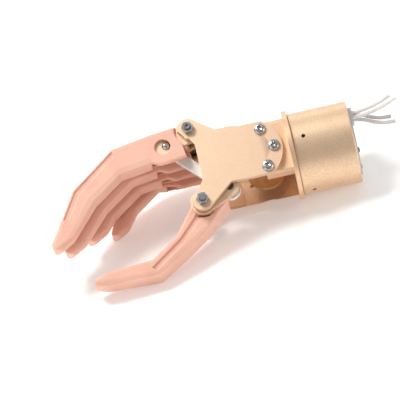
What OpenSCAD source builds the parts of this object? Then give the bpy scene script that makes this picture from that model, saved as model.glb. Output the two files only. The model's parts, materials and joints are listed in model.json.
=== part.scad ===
// Powered prosthetic hand, right size for an adult, one drive for four fingers and a thumb.
// Hand frame used inside the modules: +X runs up the forearm, +Y to the back of the hand,
// +Z to the index finger side. X = 0 is the middle of the frame's flange.
// place() then turns the whole hand into the attitude in which it rests on a table.

/* [Wrist] */
// Outside diameter of the wrist tube
wrist_d = 50; // [49:0.5:51]
// Length of the wrist tube
wrist_len = 36.2; // [34:0.1:40]
// Wall of the wrist tube
wrist_wall = 2.5; // [2:0.1:2.6]
// Diameter of the frame's flange
flange_d = 54.4; // [53:0.1:56]
// Thickness of the frame's flange
flange_t = 2.7; // [2.4:0.1:3]
// Diameter of the four locking screws in the wrist tube
lock_d = 2.5; // [2:0.1:3]

/* [Palm frame] */
// Diameter over the palm arm on the index side
radial_arm_d = 47.4; // [46:0.2:48.4]
// Diameter over the palm arm on the little finger side
ulnar_arm_d = 50.4; // [49.6:0.2:51]
// Distance from the wrist axis to the outside of each palm arm
arm_face = 18; // [17.6:0.1:18.2]
// Thickness of the plates that carry the finger and thumb axles
plate_t = 3.2; // [3:0.1:3.4]
// Diameter of the screws that hold the plates
plate_screw_d = 4; // [3.5:0.1:4]
// Diameter of the finger and thumb axles
axle_d = 4; // [3.6:0.1:4.2]

/* [Fingers] */
// Width of one finger along the knuckle axle
finger_w = 12.9; // [12.4:0.1:13]
// Step from one finger to the next along the knuckle axle
finger_pitch = 13.5; // [13.4:0.1:13.6]
// How far each finger falls back behind its neighbour on the index side
finger_stagger = 3.4; // [3:0.1:3.8]
// Thickness of the finger levers
lever_t = 3; // [2.6:0.1:3.2]

/* [Drive] */
// Outside radius of the crown gear
gear_r = 12.3; // [12:0.1:12.4]
// Teeth on the crown gear
gear_teeth = 36;
// Teeth on the motor pinion
pinion_teeth = 12;
// Radius from the crown gear's axle to its crank pin
crank_r = 7.2; // [7.1:0.1:7.4]

/* [Resting attitude] */
// Turn about the forearm axis, palm side down
rest_roll = 31.3; // [0:0.1:40]
// Tip of the forearm axis, wrist end down
rest_pitch = 3.6; // [0:0.1:10]

/* [Hidden] */
$fn = 64;

gold = "#d9bd8d";
skin = "#e0a894";
steel = "#b9bcc0";
black = "#26272b";
eps = 0.01;
run_gap = 0.05; // radial running clearance

wrist_r = wrist_d / 2;
wrist_in = wrist_r - wrist_wall;
flange_r = flange_d / 2;
flange_front = -0.9;
flange_back = flange_front + flange_t;
tube_front = flange_back + 0.3;
tube_back = tube_front + wrist_len;
lock_x = tube_front + 6.7;
axle_r = axle_d / 2;

spigot_r = 20; // frame spigot inside the wrist tube
spigot_in = 18.5;
spigot_end = flange_back + 13.2;
ring_front = flange_back + 1.2;
ring_back = ring_front + 8;

knuckle = [-58, 23]; // finger axle
thumb_at = [-58.5, -24.5]; // thumb axle
gear_at = [-17, -3]; // crown gear axle
finger_pin = [-73, 16.5]; // pin that drives the fingers
thumb_pin = [-41, -18]; // pin that drives the thumb
crank_angle = 95;
crank_at = gear_at + crank_r * [cos(crank_angle), sin(crank_angle)];
drive_r = 1.6; // finger drive pin

plate_low = arm_face; // underside of the radial plate
plate_top = plate_low + plate_t;
nut_across = 6.6;
nut_h = 3;
ulnar_in = -22.4; // outside of the ulnar arm
ulnar_out = ulnar_in - plate_t;
arm_floor = -16.5; // inner face of the ulnar arm
plate_centre = [-25, 0];
screw_ring = 15.4;
ulnar_ring = 13.6;
screw_angles = [0, 53, -53];
ulnar_angles = [0, 53, -36];
ulnar_head_r = 3.4;
lug_r = 6.5;
sleeve_r = 3.4;

index_top = 20; // index side face of the index finger
function finger_top(i) = index_top - i * finger_pitch;
function finger_low(i) = finger_top(i) - finger_w;
thumb_top = 14;
thumb_low = -3;
thumb_cheek_top = 17.2; // outside of the cheek that takes the cross link's pin
thumb_cheek_low = -6.4; // ulnar end of the thumb lever's hub
thumb_pad = [-72, -40]; // screw that holds the thumb shell
thumb_seat = 1; // where that screw's head seats
thumb_hub_r = 5.4;
thumb_tang = [3, 7]; // low and high side of the tang the shell grips
thumb_lug = [-18.2, -15.2]; // low and high side of the frame's lug for the thumb axle

gear_top = -5;
gear_low = -8;
link_low = -12.4; // drive link
link_top = -9.6;
cross_low = 9.6; // cross link
cross_top = 12.4;
open_gap = 1; // play of both links on the finger drive pin
crank_pin_r = 1.5;
thumb_pin_r = 2.5;
pinion_axis = [-3, -12]; // Y and Z of the motor shaft
pinion_r = 3.6;
mesh_x = gear_at[0] + 10.8; // where the pinion meets the crown teeth
mesh_len = 2;
tooth_h = 1.1;

gearbox_at = [-3, -5]; // Y and Z of the gearbox axis
gearbox_r = 12.5;
gearbox_end = flange_back + 13;
motor_screw_places = [[-11.9, -10.9], [5.9, 0.9]];
spare_hole = [-17, -12];
small_r = 1.25; // radius of every M2.5 screw

cap_screw_ring = 16.5;
cap_screw_angles = [43, 133, 223];
cable_at = [12.4, 9]; // where the leads leave the cap
grommet_r = 4.4;
lead_r = 1.2;
lead_places = [[1.6, 1.6], [-1.6, 1.6], [1.6, -1.6], [-1.6, -1.6]];

// Height of each lever's index side face. The index lever lies close under the radial plate.
lever_heights = [plate_low - 0.3, 3.4, -15.1, -26];
function lever_top(i) = lever_heights[i];
function lever_low(i) = lever_heights[i] - lever_t;

lever_pad = [-89, 14]; // screw that holds the finger shell
lever_boss = [7.6, 5.4, 5.4, 5.4]; // radius of each lever's eye
lever_mid_r = 5;
lever_end_r = 4;
screw_seat = [2, 2, 0.2, 2]; // depth of shell between each lever and its screw head
head_room_r = 2.4;

// Each finger is [length of back, middle and end stretch, thickness factor, dip of the end].
fingers = [
    [25.3, 34.7, 37.4, 1, 59],
    [22.7, 36, 35, 1, 59.5],
    [22.5, 35.2, 21.5, 1, 68],
    [14.7, 29.4, 21.5, 0.82, 67]
];
near_dip = 9.1;
mid_dip = 36.8;
// Stations along the thumb: the point on its finger side and the point on its outside.
thumb_stations = [
    [[-46.4, -22], [-43.5, -25.4]],
    [[-66.1, -23.2], [-60.1, -41.4]],
    [[-78.9, -40.3], [-71.2, -49.4]],
    [[-95.8, -51.9], [-92.4, -62.6]],
    [[-124, -53.4], [-124.4, -62]],
    [[-132, -56.6], [-132.4, -60.2]]
];

// Puts the hand in its resting attitude, with the origin on the wrist axis at mid length of the tube.
module place() {
    rotate([rest_roll, rest_pitch, 0])
        translate([-(tube_front + tube_back) / 2, 0, 0])
            children();
}

// Round bar along X from x0 to x1.
module x_bar(r, x0, x1) {
    translate([x0, 0, 0])
        rotate([0, 90, 0])
            cylinder(r = r, h = x1 - x0);
}

// Round bar along Z from z0 to z1 at p.
module z_bar(p, r, z0, z1) {
    translate([p[0], p[1], z0])
        cylinder(r = r, h = z1 - z0);
}

// Flat slab in the XY plane from z0 to z1.
module slab(z0, z1) {
    translate([0, 0, z0])
        linear_extrude(z1 - z0)
            children();
}

// Pan head screw along -Z with its seat at the origin.
module pan_screw(d, head_d, head_h, shank) {
    slot = head_d / 6;
    difference() {
        union() {
            rotate_extrude()
                intersection() {
                    translate([0, -head_h * 0.9])
                        circle(r = head_d / 2 * 1.02);
                    square([head_d / 2, head_h]);
                }
            translate([0, 0, -shank])
                cylinder(r = d / 2, h = shank + eps);
        }
        for (a = [0, 90])
            rotate(a)
                translate([-slot * 2, -slot / 2, head_h * 0.35])
                    cube([slot * 4, slot, head_h]);
    }
}

// Hexagon nut on an axle along Z, seat at z = 0.
module hex_nut(across, h, bore_r) {
    difference() {
        cylinder(r = across / 2 / cos(30), h = h, $fn = 6);
        translate([0, 0, -eps])
            cylinder(r = bore_r, h = h + 2 * eps);
    }
}

// ---------------------------------------------------------------- wrist

module wrist_tube() {
    chamfer = 0.6;
    color(gold) place()
        difference() {
            rotate([0, 90, 0])
                rotate_extrude($fn = 96)
                    polygon([
                        [wrist_in, tube_front], [wrist_r - chamfer / 2, tube_front],
                        [wrist_r, tube_front + chamfer / 2], [wrist_r, tube_back - chamfer],
                        [wrist_r - chamfer, tube_back], [wrist_in, tube_back]
                    ]);
            for (a = [0:90:270])
                rotate([a, 0, 0])
                    z_bar([lock_x, 0], lock_d / 2, wrist_in - 1, wrist_r + 1);
        }
}

module friction_ring() {
    color("#e9e6df") place()
        difference() {
            x_bar(wrist_in, ring_front, ring_back);
            x_bar(spigot_r + run_gap, ring_front - 1, ring_back + 1);
        }
}

module lock_screws() {
    socket_r = lock_d * 0.28;
    color(black) place()
        for (a = [0:90:270])
            rotate([a, 0, 0])
                difference() {
                    z_bar([lock_x, 0], lock_d / 2, wrist_in, wrist_r - 0.9);
                    translate([lock_x, 0, wrist_r - 1.6])
                        cylinder(r = socket_r, h = 2, $fn = 6);
                }
}

module rear_cap() {
    seat = tube_back - 3;
    color("#d8d6d3") place()
        difference() {
            union() {
                x_bar(wrist_in, seat, tube_back);
                x_bar(wrist_in - 2, tube_back - eps, tube_back + 1);
            }
            translate([0, cable_at[0], cable_at[1]])
                x_bar(grommet_r, seat - 1, tube_back + 2);
            for (a = cap_screw_angles)
                rotate([a, 0, 0])
                    translate([0, 0, cap_screw_ring])
                        x_bar(small_r, seat - 1, tube_back + 2);
        }
}

module cap_screws() {
    color(black) place()
        for (a = cap_screw_angles)
            rotate([a, 0, 0])
                translate([tube_back + 1, 0, cap_screw_ring])
                    rotate([0, 90, 0])
                        pan_screw(2 * small_r, 4.6, 1.4, 5);
}

module cable_grommet() {
    color("#e4e2df") place()
        translate([0, cable_at[0], cable_at[1]])
            difference() {
                union() {
                    x_bar(grommet_r, tube_back - 3, tube_back + 1);
                    x_bar(grommet_r + 1.2, tube_back + 1, tube_back + 2.6);
                }
                for (p = lead_places)
                    translate([0, p[0], p[1]])
                        x_bar(lead_r, tube_back - 4, tube_back + 4);
            }
}

// A soft lead that leaves the grommet along X and bends in straight steps towards the angle turn.
module lead(p, turn, bends, step) {
    translate([0, cable_at[0] + p[0], cable_at[1] + p[1]]) {
        x_bar(lead_r, tube_back - 4, tube_back + 3);
        translate([tube_back + 3, 0, 0])
            rotate([turn, 0, 0])
                lead_step(bends, 0, step);
    }
}

module lead_step(bends, k, step) {
    sphere(r = lead_r * 1.03);
    rotate([0, bends[k], 0]) {
        x_bar(lead_r, 0, step);
        if (k < len(bends) - 1)
            translate([step, 0, 0])
                lead_step(bends, k + 1, step);
    }
}

module power_leads() {
    color("#f1efec") place()
        for (i = [0, 1])
            lead(lead_places[i], 113.5, [4, 6, 6, 6], 6.2 + i * 0.8);
}

module switch_leads() {
    color("#c9c8c6") place()
        for (i = [2, 3])
            lead(lead_places[i], -66.5, [14, 10, -8, -12], 4.8 + i * 0.5);
}

module retaining_ring() {
    color(steel) place()
        difference() {
            x_bar(21.6, ring_back + 0.1, ring_back + 1.3);
            x_bar(spigot_r - 0.8, ring_back, ring_back + 2);
        }
}

// ---------------------------------------------------------------- palm

// A turned arm: the slice of a round bar between two planes of constant Z.
module arm(r, z0, z1, x0, x1) {
    intersection() {
        x_bar(r, x0, x1);
        translate([x0, -r, z0])
            cube([x1 - x0, 2 * r, z1 - z0]);
    }
}

function on_ring(r, a) = plate_centre + r * [cos(a), sin(a)];

module palm_frame() {
    radial_end = -17.5;
    ulnar_end = -43;
    boss_r = 16;
    pocket = 1.2;
    color(gold) place()
        difference() {
            union() {
                x_bar(flange_r, flange_front, flange_back);
                x_bar(spigot_r, flange_back - eps, spigot_end);
                intersection() {
                    arm(radial_arm_d / 2, 10.5, arm_face, radial_end, flange_front + eps);
                    translate([radial_end, -16.6, 0])
                        cube([30, 35.6, 30]);
                }
                difference() {
                    arm(ulnar_arm_d / 2, ulnar_in, arm_floor, ulnar_end, flange_front + eps);
                    z_bar([gear_at[0] - 1.4, gear_at[1]], boss_r, arm_floor - pocket, arm_floor + 1);
                }
                z_bar(gear_at, 3.3, arm_floor - 2, gear_low - tooth_h);
                slab(thumb_lug[0], thumb_lug[1]) {
                    polygon([
                        [-34, -10], [-34, -18], [-44.4, -18], [-55.8, -27.7], [-62.2, -26.4], [-60, -20], [-46, -10]
                    ]);
                    translate(thumb_at)
                        circle(r = 4.2);
                }
            }
            z_bar(thumb_at, axle_r, thumb_lug[0] - 1, thumb_lug[1] + 1);
            // room for the gearbox, and for the ring that keeps the spigot in the tube
            x_bar(spigot_in, flange_back, spigot_end + 1);
            difference() {
                x_bar(spigot_r + 1, ring_back, ring_back + 1.4);
                x_bar(spigot_r - 0.9, ring_back - 1, ring_back + 2);
            }
            // the gearbox nose, its screws and a spare hole
            translate([0, pinion_axis[0], pinion_axis[1]])
                x_bar(4.05, flange_front - 1, flange_back + 1);
            for (p = motor_screw_places)
                translate([0, p[0], p[1]])
                    x_bar(small_r, flange_front - 1, flange_back + 1);
            translate([0, spare_hole[0], spare_hole[1]])
                x_bar(small_r, flange_front - 1, flange_back + 1);
            // the crown gear's axle, and the screws of both plates
            z_bar(gear_at, axle_r, ulnar_in - 1, 0);
            for (a = screw_angles)
                z_bar(on_ring(screw_ring, a), plate_screw_d / 2, arm_face - 7, arm_face + 1);
            for (a = ulnar_angles)
                z_bar(on_ring(ulnar_ring, a), plate_screw_d / 2, ulnar_in - 1, ulnar_in + 3);
            z_bar([-27.6, -6.4], 1, arm_floor - 3.5, arm_floor + 1);
        }
}

// Outline of the plates: a round rear end, a waist and a lug at the finger axle.
module plate_outline(palm_edge) {
    difference() {
        union() {
            intersection() {
                translate(plate_centre)
                    circle(r = 20.5, $fn = 128);
                translate([-46, -palm_edge])
                    square([46, palm_edge + 17.4]);
            }
            polygon([
                [-20.7, 16.5], [-26.8, 16.9], [-32.6, 18.7], [-42, 18.6], [-55.9, 29.2],
                [-64, 25], [-55.8, 12], [-52, -2], [-42.5, -palm_edge], [-20, -palm_edge]
            ]);
            translate(knuckle)
                circle(r = lug_r);
            children();
        }
        // the hollow between the lugs
        translate([-91.6, -0.5])
            circle(r = 35.8, $fn = 160);
    }
}

module radial_plate() {
    palm_edge = 17;
    notch = [-39.3, -palm_edge];
    color(gold) place()
        difference() {
            slab(plate_low, plate_top)
                plate_outline(palm_edge) {
                    polygon([
                        [-55.8, 12], [-55.8, -12], thumb_at - [lug_r, 0],
                        thumb_at + lug_r * [0.66, -0.76], notch, [-30, -palm_edge]
                    ]);
                    translate(thumb_at)
                        circle(r = lug_r);
                }
            for (p = [knuckle, thumb_at])
                z_bar(p, axle_r, plate_low - 1, plate_top + 1);
            for (a = screw_angles)
                z_bar(on_ring(screw_ring, a), plate_screw_d / 2, plate_low - 1, plate_top + 1);
        }
}

module ulnar_plate() {
    color(gold) place()
        difference() {
            slab(ulnar_out, ulnar_in)
                plate_outline(11.5);
            z_bar(knuckle, axle_r, ulnar_out - 1, ulnar_in + 1);
            for (a = ulnar_angles) {
                z_bar(on_ring(ulnar_ring, a), plate_screw_d / 2, ulnar_out - 1, ulnar_in + 1);
                translate([0, 0, ulnar_out - eps])
                    translate(on_ring(ulnar_ring, a))
                        cylinder(r1 = ulnar_head_r + eps, r2 = plate_screw_d / 2, h = 1.8);
            }
        }
}

module radial_plate_screws() {
    color(steel) place()
        for (a = screw_angles)
            translate([0, 0, plate_top])
                translate(on_ring(screw_ring, a))
                    rotate(a * 0.7 + 20)
                        pan_screw(plate_screw_d, 7.2, 2.4, plate_t + 5);
}

// Countersunk screws, flush with the outside of the ulnar plate.
module ulnar_plate_screws() {
    head_h = 1.75;
    color(steel) place()
        for (a = ulnar_angles)
            translate([0, 0, ulnar_out])
                translate(on_ring(ulnar_ring, a))
                difference() {
                    union() {
                        cylinder(r1 = ulnar_head_r, r2 = plate_screw_d / 2, h = head_h);
                        cylinder(r = plate_screw_d / 2, h = plate_t + 2.8);
                    }
                    translate([0, 0, -eps])
                        cylinder(r = 1.15, h = 1.2, $fn = 6);
                }
}

module knuckle_axle() {
    color(steel) place()
        difference() {
            z_bar(knuckle, axle_r, lever_low(3) - 4, plate_top + 4.4);
            translate([knuckle[0], knuckle[1], plate_top + 3.2])
                cylinder(r = 1.1, h = 3, $fn = 6);
        }
}

module knuckle_nuts() {
    color(steel) place()
        translate([knuckle[0], knuckle[1], 0]) {
            translate([0, 0, plate_top])
                hex_nut(nut_across, nut_h, axle_r);
            translate([0, 0, lever_low(3) - nut_h - 0.1])
                hex_nut(nut_across, nut_h, axle_r);
        }
}

// Black spacers on the knuckle axle, between the levers. The drive link passes between two of them.
module knuckle_sleeves() {
    play = 0.1;
    link_room = 0.6;
    gaps = [
        [lever_top(1) + play, lever_low(0) - play],
        [link_top + link_room, lever_low(1) - play],
        [lever_top(2) + play, link_low - link_room],
        [ulnar_in, lever_low(2) - play]
    ];
    color(black) place()
        difference() {
            for (g = gaps)
                z_bar(knuckle, sleeve_r, g[0], g[1]);
            z_bar(knuckle, axle_r, -40, 40);
        }
}

// The thumb axle is screwed into the frame's lug and held by a nut on the radial plate.
module thumb_axle() {
    color(steel) place()
        z_bar(thumb_at, axle_r, thumb_lug[0], plate_top + 4.4);
}

module thumb_nut() {
    color(steel) place()
        translate([thumb_at[0], thumb_at[1], plate_top])
            hex_nut(nut_across, nut_h, axle_r);
}

module thumb_sleeves() {
    color(black) place()
        difference() {
            union() {
                z_bar(thumb_at, sleeve_r, thumb_cheek_top + 0.1, plate_low);
                z_bar(thumb_at, sleeve_r, thumb_lug[1], thumb_cheek_low - 0.1);
            }
            z_bar(thumb_at, axle_r, -40, 40);
        }
}

// ---------------------------------------------------------------- drive

module gearbox() {
    color(steel) place()
        difference() {
            union() {
                translate([0, gearbox_at[0], gearbox_at[1]])
                    x_bar(gearbox_r, flange_back, gearbox_end);
                translate([0, pinion_axis[0], pinion_axis[1]])
                    x_bar(4, flange_front + 0.5, flange_back + eps);
            }
            translate([0, pinion_axis[0], pinion_axis[1]])
                x_bar(1.5 + run_gap, flange_front - 1, flange_back + 7);
            for (p = motor_screw_places)
                translate([0, p[0], p[1]])
                    x_bar(small_r, flange_back - 1, flange_back + 4);
        }
}

module motor() {
    color("#8f9296") place()
        translate([0, gearbox_at[0], gearbox_at[1]])
            x_bar(10.2, gearbox_end, tube_back - 5);
}

module motor_screws() {
    color(steel) place()
        for (p = motor_screw_places)
            translate([flange_front, p[0], p[1]])
                rotate([0, -90, 0])
                    pan_screw(2 * small_r, 4.8, 1.7, flange_t + 3.5);
}

module motor_shaft() {
    color(steel) place()
        translate([0, pinion_axis[0], pinion_axis[1]])
            x_bar(1.5, mesh_x - mesh_len / 2 - 0.6, flange_back + 6.8);
}

// One tooth that tapers towards its tip, standing on a circle of radius r.
module tooth(r, root_w, tip_w, h) {
    polygon([[r - 0.4, -root_w / 2], [r + h, -tip_w / 2], [r + h, tip_w / 2], [r - 0.4, root_w / 2]]);
}

module motor_pinion() {
    hub_r = pinion_r - tooth_h / 2;
    x0 = mesh_x - mesh_len / 2;
    color("#a8842f") place()
        translate([0, pinion_axis[0], pinion_axis[1]])
            difference() {
                union() {
                    x_bar(hub_r, x0, -2.6);
                    translate([x0, 0, 0])
                        rotate([0, 90, 0])
                            linear_extrude(mesh_len)
                                for (i = [0:pinion_teeth - 1])
                                    rotate((i + 0.5) * 360 / pinion_teeth)
                                        tooth(hub_r, 0.75, 0.5, tooth_h * 0.75);
                }
                x_bar(1.5, x0 - 1, -2);
            }
}

module crown_gear() {
    tooth_in = 9.6;
    tooth_len = 2.2;
    depth = tooth_h * 0.72;
    color("#c9a25c") place()
        difference() {
            union() {
                z_bar(gear_at, gear_r, gear_low, gear_top);
                translate([gear_at[0], gear_at[1], gear_low])
                    for (i = [0:gear_teeth - 1])
                        rotate(i * 360 / gear_teeth)
                            rotate([0, 90, 0])
                                translate([0, 0, tooth_in])
                                    linear_extrude(tooth_len)
                                        polygon([[-0.5, -0.4], [depth, -0.24], [depth, 0.24], [-0.5, 0.4]]);
            }
            z_bar(gear_at, axle_r + run_gap, gear_low - 2, gear_top + 1);
            z_bar(crank_at, crank_pin_r, gear_low - 2, gear_top + 1);
        }
}

module crank_pin() {
    color(steel) place()
        difference() {
            union() {
                z_bar(crank_at, crank_pin_r, link_low - 0.3, gear_top);
                z_bar(crank_at, 2.6, link_low - 1.3, link_low - 0.3);
            }
            z_bar(crank_at, 0.6, link_low - 2, link_low - 0.8);
        }
}

module gear_axle() {
    color(steel) place()
        z_bar(gear_at, axle_r, ulnar_in, gear_top + 1.2);
}

module gear_clip() {
    color(black) place()
        difference() {
            z_bar(gear_at, 3.4, gear_top + 0.1, gear_top + 0.9);
            z_bar(gear_at, axle_r, gear_top - 1, gear_top + 2);
        }
}

// Outline of a bar with round ends from p to q.
module link_shape(p, rp, q, rq) {
    along = q - p;
    span = norm(along);
    side = 0.97; // the flat sides run a little inside the round ends
    translate(p)
        circle(r = rp);
    translate(q)
        circle(r = rq);
    translate(p)
        rotate(atan2(along[1], along[0]))
            polygon([[0, -side * rp], [span, -side * rq], [span, side * rq], [0, side * rp]]);
}

// Flat bar with round ends from p to q.
module link_bar(p, rp, q, rq, z0, z1) {
    slab(z0, z1)
        link_shape(p, rp, q, rq);
}

module drive_link() {
    color(steel) place()
        difference() {
            slab(link_low, link_top) {
                link_shape(crank_at, 2.4, finger_pin, 2.4);
                translate(crank_at)
                    circle(r = 3.4);
                translate(finger_pin)
                    circle(r = 4.4);
            }
            z_bar(crank_at, crank_pin_r + run_gap, link_low - 1, link_top + 1);
            z_bar(finger_pin, drive_r + open_gap, link_low - 1, link_top + 1);
        }
}

module cross_link() {
    color("#c6c8ca") place()
        difference() {
            slab(cross_low, cross_top) {
                link_shape(finger_pin, 3.2, thumb_pin, 3.6);
                translate(finger_pin)
                    circle(r = 4.6);
                translate(thumb_pin)
                    circle(r = 6.4);
            }
            z_bar(finger_pin, drive_r + open_gap, cross_low - 1, cross_top + 1);
            z_bar(thumb_pin, thumb_pin_r + run_gap, cross_low - 1, cross_top + 1);
        }
}

module finger_drive_pin() {
    color(steel) place() {
        z_bar(finger_pin, drive_r, lever_low(3) - 1.6, lever_top(0) + eps);
        translate([finger_pin[0], finger_pin[1], lever_top(0)])
            rotate_extrude()
                intersection() {
                    translate([0, -1])
                        circle(r = 2.9);
                    square([2.6, 1.8]);
                }
    }
}

module drive_pin_clip() {
    z = lever_low(3) - 1.1;
    color(black) place()
        difference() {
            z_bar(finger_pin, 2.8, z, z + 0.9);
            z_bar(finger_pin, drive_r, z - 1, z + 2);
        }
}

// ---------------------------------------------------------------- fingers

module finger_lever(i) {
    z0 = lever_low(i);
    z1 = lever_top(i);
    color(gold) place()
        difference() {
            union() {
                link_bar(knuckle, lever_boss[i], finger_pin, lever_mid_r, z0, z1);
                link_bar(finger_pin, lever_mid_r, lever_pad, lever_end_r, z0, z1);
            }
            z_bar(knuckle, axle_r + run_gap, z0 - 1, z1 + 1);
            z_bar(finger_pin, drive_r + (i == 0 ? 0 : run_gap), z0 - 1, z1 + 1);
            z_bar(lever_pad, small_r, z0 - 1, z1 + 1);
        }
}

function dip(a) = [-cos(a), -sin(a)];

// Stations along a finger: the point on its back and the point on its palm side.
function stations(f) =
    let (
        start = [-80.8, 25.7],
        knee = start + f[0] * dip(near_dip),
        bend = knee + f[1] * dip(mid_dip),
        end = bend + f[2] * dip(f[4]),
        t = f[3]
    ) [
        [[-65, 27.2], [-62, 5.6]],
        [start, [-77.9, 3.7]],
        [start + 0.15 * f[0] * dip(near_dip), [-83, 6]],
        [knee, knee + t * [2.3, -18.7]],
        [bend, bend + t * [11.6, -11.3]],
        [end, end + t * [14.6, 1.6]],
        [end + t * [1, -3], end + t * [5.6, -4.2]]
    ];

// A station with its back and palm points pulled in.
function pull(st, d, p) =
    let (u = (st[1] - st[0]) / norm(st[1] - st[0]))
    [st[0] + d * u, st[1] - p * u];

// One stretch of a finger: flat sides, eased back, rounder palm side.
module stretch(a, b, z0, z1, back_r, palm_r, in_a = 0, in_b = 0) {
    steps = [0, 0.3, 1];
    hull()
        for (k = steps) {
            in = 1 - sqrt(1 - (1 - k) * (1 - k));
            pa = pull(a, back_r * in, palm_r * in);
            pb = pull(b, back_r * in, palm_r * in);
            top = z1 - back_r * 1.3 * k;
            disc(pa, z0 + in_a + palm_r * k, top);
            disc(pb, z0 + in_b + palm_r * k, top);
        }
}

// A thin blade through both points of a station.
module disc(st, z0, z1) {
    blade = 0.02;
    u = (st[1] - st[0]) / norm(st[1] - st[0]);
    n = [-u[1], u[0]] * blade;
    slab(z0, z1)
        polygon([st[0], st[1], st[1] + n, st[0] + n]);
}

module finger_shell(i) {
    z0 = finger_low(i);
    z1 = finger_top(i);
    st = stations(fingers[i]);
    wall = 1.7;
    tip_in = [0, 0, 0, 0, 0.6, 2.6, 3.2]; // how far the far side draws in at each station
    color(skin) place()
        difference() {
            translate([i * finger_stagger, 0, 0])
                difference() {
                    for (k = [0:5])
                        stretch(
                            st[k], st[k + 1], z0, z1, 1.6, k < 2 ? 1.6 : 4.6,
                            tip_in[k], tip_in[k + 1]
                        );
                    // the groove along the back of the side face
                    translate([0, 0, z1 - 1.1])
                        for (k = [3, 4])
                            linear_extrude(2)
                                groove(st[k], st[k + 1], k == 4 ? 0.55 : 1);
                    // window over the drive pin
                    if (i == 0)
                        z_bar([-75.1, 15.5], 4.9, z1 - wall - 1, z1 + 1);
                }
            // room for the links, open to the rear and to the palm
            translate([i * finger_stagger * 0.5, 0, 0]) {
                slab(z0 + wall, z1 - wall)
                    polygon([
                        [-50, 40], [-69, 23], [-84, 22], [-84, 8.5], [-82, 8.5], [-80, -5], [-50, -5]
                    ]);
                slab(z0 - 1, z1 - wall)
                    polygon([[-50, 9], [-83, 9], [-86, -5], [-50, -5]]);
            }
            z_bar(knuckle, 8.4, z0 - 1, z1 + 1);
            z_bar(finger_pin, drive_r + 0.4, i == 3 ? z0 + 1 : z0 - 1, i == 0 ? z1 - 4 : z1 + 1);
            // slot for the lever, and the screw through its end
            slab(lever_low(i), lever_top(i)) {
                link_shape(knuckle, lever_boss[i] + run_gap, finger_pin, lever_mid_r + run_gap);
                link_shape(finger_pin, lever_mid_r + run_gap, lever_pad, lever_end_r + run_gap);
            }
            z_bar(lever_pad, small_r + run_gap, z0 - 1, lever_low(i) + eps);
            z_bar(lever_pad, head_room_r, z0 - 1, lever_low(i) - screw_seat[i]);
        }
}

// Strip along the back edge from station a towards station b.
module groove(a, b, part) {
    edge = 1.6;
    wide = 3.6;
    p = pull(a, edge, 0)[0];
    q = pull(b, edge, 0)[0];
    r = pull(a, edge + wide, 0)[0];
    t = pull(b, edge + wide, 0)[0];
    polygon([p, p + part * (q - p), r + part * (t - r), r]);
}

module finger_screws(i) {
    color(steel) place()
        translate([lever_pad[0], lever_pad[1], lever_low(i) - screw_seat[i]])
            rotate([180, 0, 0])
                pan_screw(2 * small_r, 4.4, 1.5, lever_t + screw_seat[i]);
}

module index_lever() finger_lever(0);
module middle_lever() finger_lever(1);
module ring_lever() finger_lever(2);
module little_lever() finger_lever(3);
module index_shell() finger_shell(0);
module middle_shell() finger_shell(1);
module ring_shell() finger_shell(2);
module little_shell() finger_shell(3);
module index_screws() finger_screws(0);
module middle_screws() finger_screws(1);
module ring_screws() finger_screws(2);
module little_screws() finger_screws(3);

// ---------------------------------------------------------------- thumb

module thumb_lever() {
    cheek = 3;
    color(gold) place()
        difference() {
            union() {
                link_bar(thumb_at, 7.6, thumb_pin, 5.9, thumb_cheek_top - cheek, thumb_cheek_top);
                z_bar(thumb_at, thumb_hub_r, thumb_cheek_low, thumb_cheek_top);
                link_bar(thumb_at, thumb_hub_r, thumb_pad, lever_end_r, thumb_tang[0], thumb_tang[1]);
            }
            z_bar(thumb_at, axle_r + run_gap, -40, 40);
            z_bar(thumb_pin, thumb_pin_r, -40, 40);
            z_bar(thumb_pad, small_r, -40, 40);
        }
}

module thumb_shell() {
    taper = [0, 0, 0, 0.8, 2, 4]; // how far the far side draws in at each station
    groove_path = [[-62, -30], [-76, -44.4], [-95.7, -58.5]];
    color(skin) place()
        difference() {
            union() {
                difference() {
                    stretch(thumb_stations[0], thumb_stations[1], thumb_low, thumb_top, 1, 1.4);
                    z_bar(thumb_at, 8.4, thumb_low - 1, thumb_top + 1);
                }
                for (k = [1:4])
                    stretch(
                        thumb_stations[k], thumb_stations[k + 1], thumb_low, thumb_top, 1.6, 3,
                        taper[k], taper[k + 1]
                    );
            }
            // the groove in the index side face
            translate([0, 0, thumb_top - 1.2])
                linear_extrude(2)
                    for (k = [0, 1])
                        strip(groove_path[k], groove_path[k + 1], 3.4);
            // slot for the lever's end, and its screw
            slab(thumb_tang[0] - run_gap, thumb_tang[1] + run_gap)
                link_shape(thumb_at, thumb_hub_r + run_gap, thumb_pad, lever_end_r + run_gap);
            z_bar(thumb_pad, small_r + run_gap, thumb_low - 1, thumb_tang[0]);
            z_bar(thumb_pad, head_room_r, thumb_low - 1, thumb_seat);
        }
}

// Straight strip of width w from p to q.
module strip(p, q, w) {
    u = (q - p) / norm(q - p);
    n = [-u[1], u[0]] * w / 2;
    polygon([p + n, q + n, q - n, p - n]);
}

module thumb_screws() {
    color(steel) place()
        translate([thumb_pad[0], thumb_pad[1], thumb_seat])
            rotate([180, 0, 0])
                pan_screw(2 * small_r, 4.4, 1.5, thumb_tang[1] - thumb_seat);
}

module thumb_link_pin() {
    color(black) place()
        z_bar(thumb_pin, thumb_pin_r, cross_low - 0.6, thumb_cheek_top + 0.6);
}

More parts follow.
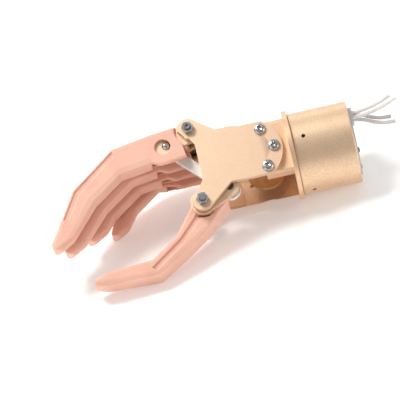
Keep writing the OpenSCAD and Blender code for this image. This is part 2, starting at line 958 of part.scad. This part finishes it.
wrist_tube();
friction_ring();
lock_screws();
rear_cap();
cap_screws();
cable_grommet();
power_leads();
switch_leads();
retaining_ring();
palm_frame();
radial_plate();
ulnar_plate();
radial_plate_screws();
ulnar_plate_screws();
knuckle_axle();
knuckle_nuts();
knuckle_sleeves();
thumb_axle();
thumb_nut();
thumb_sleeves();
gearbox();
motor();
motor_screws();
motor_shaft();
motor_pinion();
crown_gear();
crank_pin();
gear_axle();
gear_clip();
drive_link();
cross_link();
finger_drive_pin();
drive_pin_clip();
index_lever();
index_shell();
index_screws();
middle_lever();
middle_shell();
middle_screws();
ring_lever();
ring_shell();
ring_screws();
little_lever();
little_shell();
little_screws();
thumb_lever();
thumb_shell();
thumb_screws();
thumb_link_pin();
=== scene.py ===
import json
import math

import bmesh
import bpy
from mathutils import Matrix, Vector


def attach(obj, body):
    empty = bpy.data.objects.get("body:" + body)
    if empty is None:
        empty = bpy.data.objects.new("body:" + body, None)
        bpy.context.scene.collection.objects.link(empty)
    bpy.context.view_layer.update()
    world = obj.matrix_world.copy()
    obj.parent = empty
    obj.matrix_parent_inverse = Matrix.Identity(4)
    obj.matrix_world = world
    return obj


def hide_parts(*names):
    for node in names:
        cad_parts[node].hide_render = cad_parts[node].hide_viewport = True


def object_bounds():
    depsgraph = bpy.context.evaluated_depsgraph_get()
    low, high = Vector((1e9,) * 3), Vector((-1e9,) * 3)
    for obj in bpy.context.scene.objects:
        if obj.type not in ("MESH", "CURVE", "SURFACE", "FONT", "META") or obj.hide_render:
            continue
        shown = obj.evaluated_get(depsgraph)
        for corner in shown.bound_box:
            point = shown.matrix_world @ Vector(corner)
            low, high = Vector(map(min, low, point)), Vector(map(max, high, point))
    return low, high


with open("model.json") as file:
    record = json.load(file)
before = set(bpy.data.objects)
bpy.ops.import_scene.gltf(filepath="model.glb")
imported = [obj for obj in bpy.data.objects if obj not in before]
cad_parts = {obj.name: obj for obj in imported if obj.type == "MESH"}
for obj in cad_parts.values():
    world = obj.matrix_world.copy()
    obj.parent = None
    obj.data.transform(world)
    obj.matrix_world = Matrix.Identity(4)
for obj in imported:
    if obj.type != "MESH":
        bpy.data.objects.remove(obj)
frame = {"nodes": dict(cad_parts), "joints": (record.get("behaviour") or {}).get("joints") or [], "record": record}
CAD_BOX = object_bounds()

# ---------------------------------------------------------------- hand frame
# Lengths are in millimetres in the hand's own frame: +X runs up the forearm, +Y to the back of the
# hand, +Z to the index finger side. place() turns a point into the row frame, in metres.

MM = 0.001
JOINTS = {j["name"]: j for j in frame["joints"]}
FOREARM = Vector(JOINTS["wrist_rotation"]["axis"])
ACROSS = Vector(JOINTS["grip"]["axis"])
HAND = Matrix((FOREARM, ACROSS.cross(FOREARM), ACROSS)).transposed()
TUBE_MID = 20.2  # hand X of the row's origin
TUBE_BACK = 38.3

KNUCKLE = (-58, 23)
THUMB_AT = (-58.5, -24.5)
THUMB_PIN = (-41, -18)
PLATE_CENTRE = (-25, 0)
PLATE_TOP = 21.2
LEVER_LOW = -29  # underside of the little finger's lever
SCREW_RING = 15.4
SCREW_ANGLES = (0, 53, -53)
AXLE_R = 2
AXLE_STANDS = 4.4  # how far both axles stand above the plate
AXLE_THREAD = 4
NUT_ACROSS = 6.6
NUT_H = 3
THUMB_AXLE_LOW = -18.2
THUMB_PIN_ENDS = (9, 17.8)
CABLE_AT = (12.4, 9)  # hand Y and Z of the leads where they leave the cap
LEAD_R = 1.2
LEAD_SPREAD = 1.6  # half the distance between neighbouring leads


def place(x, y, z):
    """Row-frame point, in metres, of a hand-frame point in millimetres."""
    return HAND @ (Vector((x - TUBE_MID, y, z)) * MM)


def along_z(x, y):
    """Local to hand frame for a piece that stands on the XY plane at (x, y)."""
    return lambda u, v, w: (x + u, y + v, w)


# ---------------------------------------------------------------- materials


class Nodes:
    """A short way to write a node tree."""

    def __init__(self, name):
        self.material = bpy.data.materials.new(name)
        self.material.use_nodes = True
        self.tree = self.material.node_tree
        self.shader = self.tree.nodes["Principled BSDF"]
        coords = self.tree.nodes.new("ShaderNodeTexCoord")
        self.point = coords.outputs["Object"]

    def set(self, **values):
        for key, value in values.items():
            socket = self.shader.inputs[key.replace("_", " ")]
            if isinstance(value, bpy.types.NodeSocket):
                self.tree.links.new(value, socket)
            else:
                socket.default_value = value
        return self

    def node(self, kind, inputs=(), **settings):
        n = self.tree.nodes.new("ShaderNode" + kind)
        for key, value in settings.items():
            setattr(n, key, value)
        for key, value in dict(inputs).items():
            if isinstance(value, bpy.types.NodeSocket):
                self.tree.links.new(value, n.inputs[key])
            else:
                n.inputs[key].default_value = value
        return n

    def noise(self, size_mm, detail=2.0, stretch=None):
        """Fractal noise whose features are about size_mm across; stretch scales the three hand axes."""
        point = self.point
        if stretch:
            turn = self.node("Mapping", {"Vector": point})
            turn.inputs["Rotation"].default_value = HAND.inverted().to_euler()
            point = self.node("Mapping", {"Vector": turn.outputs[0]}).outputs[0]
            self.tree.nodes[-1].inputs["Scale"].default_value = stretch
        n = self.node("TexNoise", {"Vector": point, "Scale": 1 / (size_mm * MM), "Detail": detail})
        return n.outputs["Fac"]

    def ramp(self, fac, *stops):
        """stops are (position, colour or grey)."""
        n = self.node("ValToRGB", {"Fac": fac})
        elements = n.color_ramp.elements
        while len(elements) < len(stops):
            elements.new(0.5)
        for element, (position, colour) in zip(elements, stops):
            element.position = position
            if not isinstance(colour, tuple):
                colour = (colour, colour, colour)
            element.color = (*colour, 1)
        return n.outputs["Color"]

    def mix(self, a, b, fac):
        n = self.node("Mix", data_type="RGBA")
        for key, value in (("Factor", fac), ("A", a), ("B", b)):
            socket = [s for s in n.inputs if s.name == key and s.enabled][0]
            if isinstance(value, bpy.types.NodeSocket):
                self.tree.links.new(value, socket)
            elif key == "Factor":
                socket.default_value = value
            else:
                socket.default_value = (*value, 1)
        return [s for s in n.outputs if s.enabled][0]

    def bump(self, height, depth_mm, strength=1.0, under=None):
        inputs = {"Height": height, "Distance": depth_mm * MM, "Strength": strength}
        if under:
            inputs["Normal"] = under
        return self.node("Bump", inputs).outputs[0]

    def edges(self, radius_mm):
        """1 along sharp edges, 0 on open faces: the mask along which highlights are painted."""
        rounded = self.node("Bevel", {"Radius": radius_mm * MM}, samples=4)
        flat = self.node("NewGeometry")
        dot = self.node("VectorMath", operation="DOT_PRODUCT")
        self.tree.links.new(rounded.outputs[0], dot.inputs[0])
        self.tree.links.new(flat.outputs["Normal"], dot.inputs[1])
        return self.ramp(dot.outputs["Value"], (0.80, 1.0), (0.985, 0.0))

    def rounded(self, radius_mm):
        return self.node("Bevel", {"Radius": radius_mm * MM}, samples=4).outputs[0]


def blasted_gold(name, light=(0.88, 0.635, 0.45), dark=(0.73, 0.50, 0.335), grain=1.0, lathe=False):
    """Champagne anodised aluminium, bead-blasted to a fine grain."""
    m = Nodes(name)
    speckle = m.noise(0.55, 3)
    cloud = m.noise(9, 2)
    colour = m.mix(light, dark, m.ramp(speckle, (0.38, 0.0), (0.72, 0.75)))
    colour = m.mix(colour, dark, m.ramp(cloud, (0.45, 0.0), (0.75, 0.16)))
    # painted highlight: a lighter tint painted along the sharp edges, standing in for light catching them
    colour = m.mix(colour, (0.98, 0.88, 0.72), m.mix((0, 0, 0), (0.55,) * 3, m.edges(0.35)))
    rough = m.ramp(speckle, (0.25, 0.36), (0.75, 0.52))
    normal = m.bump(speckle, 0.05 * grain, 0.5, m.rounded(0.2))
    if lathe:
        rings = m.noise(0.35, 1, stretch=(1.0, 0.03, 0.03))
        normal = m.bump(rings, 0.02, 0.4, normal)
    return m.set(Base_Color=colour, Metallic=0.78, Roughness=rough, Normal=normal).material


def flesh(name, light=(0.84, 0.49, 0.375), deep=(0.70, 0.345, 0.255)):
    """Satin flesh-coloured moulded plastic with a faint texture and a warm depth."""
    m = Nodes(name)
    cloud = m.noise(14, 3)
    pore = m.noise(0.45, 2)
    streak = m.noise(2.2, 3, stretch=(0.2, 1, 1))
    colour = m.mix(light, deep, m.ramp(cloud, (0.40, 0.0), (0.80, 0.40)))
    colour = m.mix(colour, deep, m.ramp(streak, (0.5, 0.0), (0.85, 0.22)))
    # painted highlight: a lighter tint painted along the sharp edges, standing in for light catching them
    colour = m.mix(colour, (0.92, 0.66, 0.55), m.mix((0, 0, 0), (0.35,) * 3, m.edges(0.5)))
    rough = m.ramp(streak, (0.3, 0.34), (0.7, 0.47))
    normal = m.bump(streak, 0.05, 0.25, m.bump(pore, 0.02, 0.35))
    return m.set(
        Base_Color=colour, Roughness=rough, Normal=normal, Subsurface_Weight=0.22,
        Subsurface_Radius=(1.0, 0.35, 0.22), Subsurface_Scale=1.6 * MM, Coat_Weight=0.08,
        Coat_Roughness=0.3, IOR=1.46,
    ).material


def bright_metal(name, colour=(0.72, 0.71, 0.69), rough=0.2, grain_mm=0.3, depth=0.012, metallic=1.0):
    """Plated or ground metal with fine scratches and dulled patches."""
    m = Nodes(name)
    scratch = m.noise(grain_mm, 3, stretch=(0.15, 1, 1))
    patch = m.noise(2.5, 2)
    tint = m.mix(colour, tuple(c * 0.72 for c in colour), m.ramp(patch, (0.42, 0.0), (0.75, 0.5)))
    # painted highlight: a near-white tint painted along the sharp edges, standing in for light glinting on them
    tint = m.mix(tint, (0.93, 0.93, 0.92), m.mix((0, 0, 0), (0.5,) * 3, m.edges(0.15)))
    roughness = m.ramp(patch, (0.3, rough), (0.7, min(rough * 1.7, 0.9)))
    normal = m.bump(scratch, depth, 0.4, m.rounded(0.1))
    return m.set(Base_Color=tint, Metallic=metallic, Roughness=roughness, Normal=normal).material


def plain_plastic(name, colour, rough=0.4, sheen=0.0):
    """Moulded or extruded polymer with a slight unevenness."""
    m = Nodes(name)
    cloud = m.noise(5, 2)
    fine = m.noise(0.4, 2)
    tint = m.mix(colour, tuple(c * 0.86 for c in colour), m.ramp(cloud, (0.4, 0.0), (0.75, 0.7)))
    roughness = m.ramp(fine, (0.3, rough), (0.7, rough + 0.14))
    normal = m.bump(fine, 0.02, 0.3, m.rounded(0.15))
    m.set(Base_Color=tint, Roughness=roughness, Normal=normal)
    if sheen:
        m.set(Sheen_Weight=sheen, Subsurface_Weight=0.1, Subsurface_Scale=0.8 * MM)
    return m.material


MATERIALS = {
    "gold_aluminium": blasted_gold("gold_aluminium"),
    "gold_turned": blasted_gold("gold_turned", (0.90, 0.665, 0.455), (0.62, 0.41, 0.26), 1.6, True),
    # gold with painted shade: a deeper, more copper copy of the gold for parts that sit in shadow under the plates
    "gold_painted_shade": blasted_gold("gold_painted_shade", (0.90, 0.62, 0.41), (0.72, 0.46, 0.28)),
    "flesh_plastic": flesh("flesh_plastic"),
    "nickel_steel": bright_metal("nickel_steel", (0.50, 0.49, 0.48), 0.2),
    "dull_steel": bright_metal("dull_steel", (0.22, 0.22, 0.23), 0.34),
    "ground_steel": bright_metal("ground_steel", (0.55, 0.54, 0.52), 0.32, 0.4, 0.02),
    "silver_aluminium": bright_metal("silver_aluminium", (0.90, 0.885, 0.86), 0.5, 0.5, 0.015, 0.5),
    "bronze": bright_metal("bronze", (0.62, 0.38, 0.19), 0.34, 0.3, 0.02),
    "motor_steel": bright_metal("motor_steel", (0.42, 0.42, 0.43), 0.38, 0.5, 0.02),
    "black_plastic": plain_plastic("black_plastic", (0.022, 0.02, 0.021), 0.32),
    "black_steel": bright_metal("black_steel", (0.06, 0.057, 0.056), 0.36, 0.3, 0.02, 0.8),
    "white_plastic": plain_plastic("white_plastic", (0.62, 0.60, 0.59), 0.45),
    "white_silicone": plain_plastic("white_silicone", (0.80, 0.78, 0.76), 0.5, 0.2),
    "grey_silicone": plain_plastic("grey_silicone", (0.70, 0.68, 0.67), 0.5, 0.2),
}

# the palm frame takes the gold with painted shade
LOOKS = {
    "wrist_tube": "gold_turned", "palm_frame": "gold_painted_shade", "friction_ring": "white_plastic",
    "retaining_ring": "ground_steel", "gearbox": "ground_steel", "motor": "motor_steel",
}
SLOT_OF = {s["node"]: s["material_slot"] for s in frame["record"]["subparts"]}
BODY_OF = {n: b for b, ns in frame["record"]["behaviour"]["bodies"].items() for n in ns}

for node_name, node in frame["nodes"].items():
    look = MATERIALS[LOOKS.get(node_name, SLOT_OF[node_name])]
    if not node.material_slots:
        node.data.materials.append(look)
    for material_slot in node.material_slots:
        material_slot.material = look

# ---------------------------------------------------------------- building pieces


def finish_piece(obj, look, *nodes, sharp=32):
    """Gives a piece its material and its shading, hides the CAD nodes it stands for and attaches it to the body of
    the first.
    """
    obj.data.materials.clear()
    obj.data.materials.append(MATERIALS[look])
    obj.data.polygons.foreach_set("material_index", [0] * len(obj.data.polygons))
    obj.data.shade_smooth()
    if sharp:
        obj.data.set_sharp_from_angle(angle=math.radians(sharp))
    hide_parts(*nodes)
    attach(obj, BODY_OF[nodes[0]])
    return obj


def piece_from(name, mesh, look, *nodes, sharp=32):
    obj = bpy.data.objects.new(name, mesh)
    bpy.context.scene.collection.objects.link(obj)
    return finish_piece(obj, look, *nodes, sharp=sharp)


def baked(obj):
    """The mesh of obj with its modifiers applied, replacing its own."""
    bpy.context.view_layer.update()
    graph = bpy.context.evaluated_depsgraph_get()
    mesh = bpy.data.meshes.new_from_object(obj.evaluated_get(graph))
    obj.modifiers.clear()
    obj.data = mesh
    return obj


def copy_node(name, node):
    mesh = frame["nodes"][node].data.copy()
    mesh.name = name
    obj = bpy.data.objects.new(name, mesh)
    bpy.context.scene.collection.objects.link(obj)
    work = bmesh.new()
    work.from_mesh(mesh)
    bmesh.ops.remove_doubles(work, verts=work.verts, dist=2e-6)
    work.to_mesh(mesh)
    work.free()
    return obj


def soft_copy(node, look, voxel_mm, passes, tip_passes):
    """A moulded form of a CAD node: even small faces, every edge eased, and the tip rounded over."""
    obj = copy_node(node + "_skin", node)
    remesh = obj.modifiers.new("voxels", "REMESH")
    remesh.mode = "VOXEL"
    remesh.voxel_size = voxel_mm * MM
    ease = obj.modifiers.new("ease", "SMOOTH")
    ease.factor = 0.5
    ease.iterations = passes
    baked(obj)
    group = obj.vertex_groups.new(name="tip")
    to_hand = HAND.inverted()
    axis = 0 if "thumb" in node else 1  # the hand axis along which the tip points
    places = [(to_hand @ v.co)[axis] / MM for v in obj.data.vertices]
    tip_at = min(places)
    for i, place_on_axis in enumerate(places):
        weight = (9 - (place_on_axis - tip_at)) / 5
        group.add([i], max(0.0, min(1.0, weight)), "REPLACE")
    tip = obj.modifiers.new("tip", "SMOOTH")
    tip.factor = 0.5
    tip.iterations = tip_passes
    tip.vertex_group = "tip"
    baked(obj)
    return finish_piece(obj, look, node, sharp=0)


def edged_copy(node, look, width_mm, angle=38):
    """A machined form of a CAD node: its edges broken by a small chamfer."""
    obj = copy_node(node + "_edged", node)
    work = bmesh.new()
    work.from_mesh(obj.data)
    bmesh.ops.dissolve_limit(
        work, angle_limit=math.radians(0.6), verts=work.verts, edges=work.edges,
        use_dissolve_boundaries=False,
    )
    work.to_mesh(obj.data)
    work.free()
    bevel = obj.modifiers.new("edge", "BEVEL")
    bevel.width = width_mm * MM
    bevel.segments = 2
    bevel.limit_method = "ANGLE"
    bevel.angle_limit = math.radians(angle)
    baked(obj)
    return finish_piece(obj, look, node, sharp=24)


def smooth_copy(node, look, angle=24):
    """A turned form of a CAD node, with its faces shaded round and its edges kept."""
    return finish_piece(copy_node(node + "_round", node), look, node, sharp=angle)


def turned(rings, to_hand, sides=48, radius=None, relief=None, loop=False):
    """Faces of a body turned about its local Z: rings are (r, z). radius(turn, r, z) may change a ring's
    radius and relief(u, v, r, z) its height. A loop joins the last ring to the first."""
    verts = []
    faces = []
    rows = []
    for r, z in rings:
        row = []
        for i in range(sides if r > 0 else 1):
            turn = 2 * math.pi * i / sides
            rr = radius(turn, r, z) if radius and r > 0 else r
            u, v = rr * math.cos(turn), rr * math.sin(turn)
            w = relief(u, v, rr, z) if relief else z
            row.append(len(verts))
            verts.append(place(*to_hand(u, v, w)))
        rows.append(row)
    pairs = list(zip(rows, rows[1:]))
    if loop:
        pairs.append((rows[-1], rows[0]))
    for low, high in pairs:
        for i in range(sides):
            j = (i + 1) % sides
            if len(low) == 1:
                faces.append((low[0], high[j], high[i]))
            elif len(high) == 1:
                faces.append((low[i], low[j], high[0]))
            else:
                faces.append((low[i], low[j], high[j], high[i]))
    return verts, faces


def join_parts(name, parts, look, *nodes, sharp=32):
    """One piece from several (verts, faces) lists."""
    verts = []
    faces = []
    for part_verts, part_faces in parts:
        start = len(verts)
        verts += part_verts
        faces += [tuple(start + k for k in f) for f in part_faces]
    mesh = bpy.data.meshes.new(name)
    mesh.from_pydata([tuple(v) for v in verts], [], faces)
    work = bmesh.new()
    work.from_mesh(mesh)
    bmesh.ops.recalc_face_normals(work, faces=work.faces)
    work.to_mesh(mesh)
    work.free()
    return piece_from(name, mesh, look, *nodes, sharp=sharp)


def dome(head_r, head_h, steps):
    """Rings of a pan head from its seat to its crown."""
    rings = [(head_r * 0.96, 0.0), (head_r, head_h * 0.12), (head_r, head_h * 0.34)]
    for k in range(1, steps + 1):
        t = k / steps
        r = head_r * (1 - t)
        rise = math.sqrt(max(0.0, 1 - (1 - t) ** 2.4))
        rings.append((r, head_h * (0.34 + 0.66 * rise)))
    return rings


def cross_recess(arm, half, depth, turn):
    """Height function of a cross-shaped driver recess with tapering walls."""

    def relief(u, v, r, z):
        if z <= 0 or r > arm * 1.25:
            return z
        a = abs(u * math.cos(turn) + v * math.sin(turn))
        b = abs(-u * math.sin(turn) + v * math.cos(turn))
        near, far = min(a, b), max(a, b)
        inside = min((half - near) / (half * 0.35), (arm - far) / (arm * 0.22), 1.0)
        if inside <= 0:
            return z
        return z - depth * inside * (1 - 0.55 * far / arm)

    return relief


def pan_screw(to_hand, seat, d, head_r, head_h, shank, turn):
    """A pan head screw with a cross recess, its head towards +Z."""
    relief = cross_recess(head_r * 0.62, head_r * 0.17, head_h * 0.62, turn)
    rings = [(0, -shank), (d * 0.40, -shank), (d * 0.5, -shank + 0.3), (d * 0.5, 0)]
    rings += dome(head_r, head_h, 22)

    def lift(u, v, r, z):
        return seat + relief(u, v, r, z)

    return turned(rings, to_hand, 96, relief=lift)


def hex_nut(at, seat):
    """An axle nut with its corners chamfered on both faces."""
    half = NUT_ACROSS / 2
    h = NUT_H
    ease = 0.2
    lip = 0.25

    def radius(turn, r, z):
        if r <= AXLE_R + lip:
            return r
        flat = math.radians(60)
        hexagon = half / math.cos(turn % flat - flat / 2)
        near_face = min(abs(z), abs(h - z))
        return min(hexagon, half * (1.06 + near_face / ease * 0.1), r)

    corner = half / math.cos(math.radians(30))
    outer = [(corner, z) for z in (0, ease, h - ease, h)]
    rings = [(AXLE_R, lip), (AXLE_R + lip, 0)] + outer + [(AXLE_R + lip, h), (AXLE_R, h - lip)]

    def lift(u, v, r, z):
        return seat + z

    return turned(rings, along_z(*at), 96, radius=radius, relief=lift, loop=True)


def rod(at, r, z0, z1, ease, socket=0.0, thread=0.0):
    """A round rod with eased ends; socket is the radius of a hexagonal recess in its upper end, and
    thread the length of screw thread below that end."""
    rings = [(0, z0), (r - ease, z0), (r, z0 + ease)]
    if thread:
        pitch = 0.6
        z = z1 - thread
        while z < z1 - ease:
            rings += [(r, z), (r * 0.93, z + pitch / 2)]
            z += pitch
    rings += [(r, z1 - ease), (r - ease, z1)]
    if socket:
        rings += [(socket, z1 - 0.02), (socket * 0.98, z1 - 0.9), (0, z1 - 1.0)]
    else:
        rings += [(0, z1)]

    def radius(turn, rr, z):
        if not socket or rr > socket:
            return rr
        flat = math.radians(60)
        return rr * 0.9 / math.cos((turn + flat / 2) % flat - flat / 2)

    return turned(rings, along_z(*at), 48, radius=radius)


def hose(points, r, sides=14):
    """A soft round lead through hand-frame points."""
    smooth = []
    for i in range(len(points) - 1):
        p0 = Vector(points[max(i - 1, 0)])
        p1 = Vector(points[i])
        p2 = Vector(points[i + 1])
        p3 = Vector(points[min(i + 2, len(points) - 1)])
        for k in range(6):
            t = k / 6
            smooth.append(
                0.5 * (2 * p1 + (p2 - p0) * t + (2 * p0 - 5 * p1 + 4 * p2 - p3) * t * t
                       + (3 * p1 - p0 - 3 * p2 + p3) * t ** 3)
            )
    smooth.append(Vector(points[-1]))
    verts = []
    faces = []
    side = Vector((0, 0, 1))
    for i, p in enumerate(smooth):
        ahead = (smooth[min(i + 1, len(smooth) - 1)] - smooth[max(i - 1, 0)]).normalized()
        u = (side - side.dot(ahead) * ahead).normalized()
        v = ahead.cross(u)
        for k in range(sides):
            a = 2 * math.pi * k / sides
            q = p + r * (math.cos(a) * u + math.sin(a) * v)
            verts.append(place(*q))
        if i:
            base = i * sides
            for k in range(sides):
                j = (k + 1) % sides
                faces.append((base - sides + k, base - sides + j, base + j, base + k))
    faces.append(tuple(range(sides)))
    last = (len(smooth) - 1) * sides
    faces.append(tuple(range(last, last + sides)))
    return verts, faces


# ---------------------------------------------------------------- moulded shells

for finger in ("index", "middle", "ring", "little", "thumb"):
    soft_copy(finger + "_shell", "flesh_plastic", 0.27, 2, 40)

# ---------------------------------------------------------------- machined pieces

for node_name, look, width in (
    ("radial_plate", "gold_aluminium", 0.3),
    # the ulnar plate and the middle, ring and little levers take the gold with painted shade
    ("ulnar_plate", "gold_painted_shade", 0.3),
    ("cross_link", "silver_aluminium", 0.25),
    ("drive_link", "ground_steel", 0.25),
    ("index_lever", "gold_aluminium", 0.25),
    ("middle_lever", "gold_painted_shade", 0.25),
    ("ring_lever", "gold_painted_shade", 0.25),
    ("little_lever", "gold_painted_shade", 0.25),
    ("thumb_lever", "gold_aluminium", 0.25),
):
    edged_copy(node_name, look, width)

smooth_copy("wrist_tube", "gold_turned")

# ---------------------------------------------------------------- fasteners and pins

screws = []
for a in SCREW_ANGLES:
    x = PLATE_CENTRE[0] + SCREW_RING * math.cos(math.radians(a))
    y = PLATE_CENTRE[1] + SCREW_RING * math.sin(math.radians(a))
    screws.append(pan_screw(along_z(x, y), PLATE_TOP, 4, 3.6, 2.35, 8, math.radians(a * 0.7 + 20)))
join_parts("plate_screws", screws, "nickel_steel", "radial_plate_screws")

finger_nuts = [hex_nut(KNUCKLE, PLATE_TOP), hex_nut(KNUCKLE, LEVER_LOW - NUT_H - 0.1)]
join_parts("finger_axle_nuts", finger_nuts, "nickel_steel", "knuckle_nuts")
join_parts("thumb_axle_nut", [hex_nut(THUMB_AT, PLATE_TOP)], "nickel_steel", "thumb_nut")

axle_top = PLATE_TOP + AXLE_STANDS
finger_axle = rod(KNUCKLE, AXLE_R, LEVER_LOW - 4, axle_top, 0.35, 1.15, AXLE_THREAD)
join_parts("finger_axle", [finger_axle], "dull_steel", "knuckle_axle")
thumb_axle = rod(THUMB_AT, AXLE_R, THUMB_AXLE_LOW, axle_top, 0.4, 0, AXLE_THREAD)
join_parts("thumb_axle_rod", [thumb_axle], "dull_steel", "thumb_axle")
thumb_pin = rod(THUMB_PIN, 2.5, *THUMB_PIN_ENDS, 0.35)
join_parts("thumb_pin_rod", [thumb_pin], "black_steel", "thumb_link_pin")

# ---------------------------------------------------------------- leads

def lead_path(across, lift, way, bends, step):
    """Points of a lead that leaves the grommet along X and bends towards the angle way."""
    x, y, z = TUBE_BACK + 3, CABLE_AT[0] + across, CABLE_AT[1] + lift
    points = [(TUBE_BACK - 4, y, z), (TUBE_BACK, y, z), (x, y, z)]
    dip = 0
    for bend in bends:
        dip += math.radians(bend)
        x += step * math.cos(dip)
        y += step * math.sin(dip) * math.sin(way)
        z -= step * math.sin(dip) * math.cos(way)
        points.append((x, y, z))
    return points


for name, look, lift, way, bends, step, longer in (
    ("power_leads", "white_silicone", LEAD_SPREAD, 113.5, (4, 6, 6, 6), 6.2, 0.8),
    ("switch_leads", "grey_silicone", -LEAD_SPREAD, -66.5, (14, 10, -8, -12), 5.8, 0.5),
):
    pair = []
    for i, across in enumerate((LEAD_SPREAD, -LEAD_SPREAD)):
        path = lead_path(across, lift, math.radians(way), bends, step + i * longer)
        pair.append(hose(path, LEAD_R))
    join_parts(name + "_soft", pair, look, name, sharp=60)

# ---------------------------------------------------------------- floor, light and camera

floor_z = CAD_BOX[0][2]
bpy.ops.mesh.primitive_plane_add(size=6, location=(0, 0, floor_z))
floor = bpy.context.object
floor.name = "floor"
paper = Nodes("floor_paper")
paper.set(
    Base_Color=paper.mix((0.90, 0.885, 0.875), (0.86, 0.845, 0.835), paper.noise(40, 3)),
    Roughness=0.75, Specular_IOR_Level=0.25, Normal=paper.bump(paper.noise(1.2, 2), 0.03, 0.15),
    Emission_Color=(1.0, 0.985, 0.98, 1), Emission_Strength=0.22,
)
floor.data.materials.append(paper.material)

CAMERA_TILT = math.radians(23.5)  # how far the view leans from the index side towards the palm
LEAN = (0.9754, 0.2203)  # how far the forearm leans in the picture
PICTURE_CENTRE = (-60.1, -12.8, -5.6)
PICTURE_WIDTH = 0.2416
CAMERA_DISTANCE = 3.2

depth_axis = Vector((0, math.cos(CAMERA_TILT), math.sin(CAMERA_TILT)))
toward = HAND @ Vector((0, -math.sin(CAMERA_TILT), math.cos(CAMERA_TILT)))
right = HAND @ (LEAN[0] * Vector((1, 0, 0)) - LEAN[1] * depth_axis)
up = HAND @ (LEAN[1] * Vector((1, 0, 0)) + LEAN[0] * depth_axis)
target = place(*PICTURE_CENTRE)

lens = bpy.data.cameras.new("camera")
camera = bpy.data.objects.new("camera", lens)
bpy.context.scene.collection.objects.link(camera)
lens.sensor_width = 36
lens.lens = 36 * CAMERA_DISTANCE / PICTURE_WIDTH
lens.clip_end = 20
turn = Matrix((right, up, toward)).transposed().to_4x4()
camera.matrix_world = Matrix.Translation(target + toward * CAMERA_DISTANCE) @ turn
bpy.context.scene.camera = camera


def soft_light(name, direction, distance, size, power, colour):
    """An area light that faces the hand; direction is (right, up, toward) in the picture."""
    data = bpy.data.lights.new(name, "AREA")
    data.shape = "RECTANGLE"
    data.size, data.size_y = size
    data.energy = power
    data.color = colour
    light = bpy.data.objects.new(name, data)
    bpy.context.scene.collection.objects.link(light)
    way = (right * direction[0] + up * direction[1] + toward * direction[2]).normalized()
    light.location = target + way * distance
    light.rotation_euler = way.to_track_quat("Z", "Y").to_euler()
    return light


soft_light("key", (-0.65, 0.87, 0.43), 1.1, (0.45, 0.4), 9.8, (1.0, 0.985, 0.965))
soft_light("back_strip", (0.1, 0.85, -0.45), 1.0, (1.2, 0.3), 1.8, (1.0, 0.99, 0.975))
soft_light("right_fill", (0.9, 0.25, 0.6), 1.2, (0.6, 0.6), 3.0, (1.0, 0.99, 0.975))
soft_light("left_fill", (-0.8, -0.4, 0.7), 1.2, (0.8, 0.8), 2.6, (1.0, 0.99, 0.98))

world = bpy.data.worlds.new("studio")
world.use_nodes = True
bpy.context.scene.world = world
sky = world.node_tree
background = sky.nodes["Background"]
coords = sky.nodes.new("ShaderNodeTexCoord")
facing = sky.nodes.new("ShaderNodeVectorMath")
facing.operation = "DOT_PRODUCT"
facing.inputs[1].default_value = toward
sky.links.new(coords.outputs["Generated"], facing.inputs[0])
shade = sky.nodes.new("ShaderNodeValToRGB")
sky.links.new(facing.outputs["Value"], shade.inputs["Fac"])
shade.color_ramp.elements[0].position = 0.55
shade.color_ramp.elements[0].color = (1.0, 1.0, 1.0, 1)
shade.color_ramp.elements[1].position = 0.97
shade.color_ramp.elements[1].color = (0.60, 0.59, 0.58, 1)
sky.links.new(shade.outputs["Color"], background.inputs["Color"])
background.inputs["Strength"].default_value = 0.50

bpy.context.scene.view_settings.view_transform = "Standard"
bpy.context.scene.view_settings.look = "None"
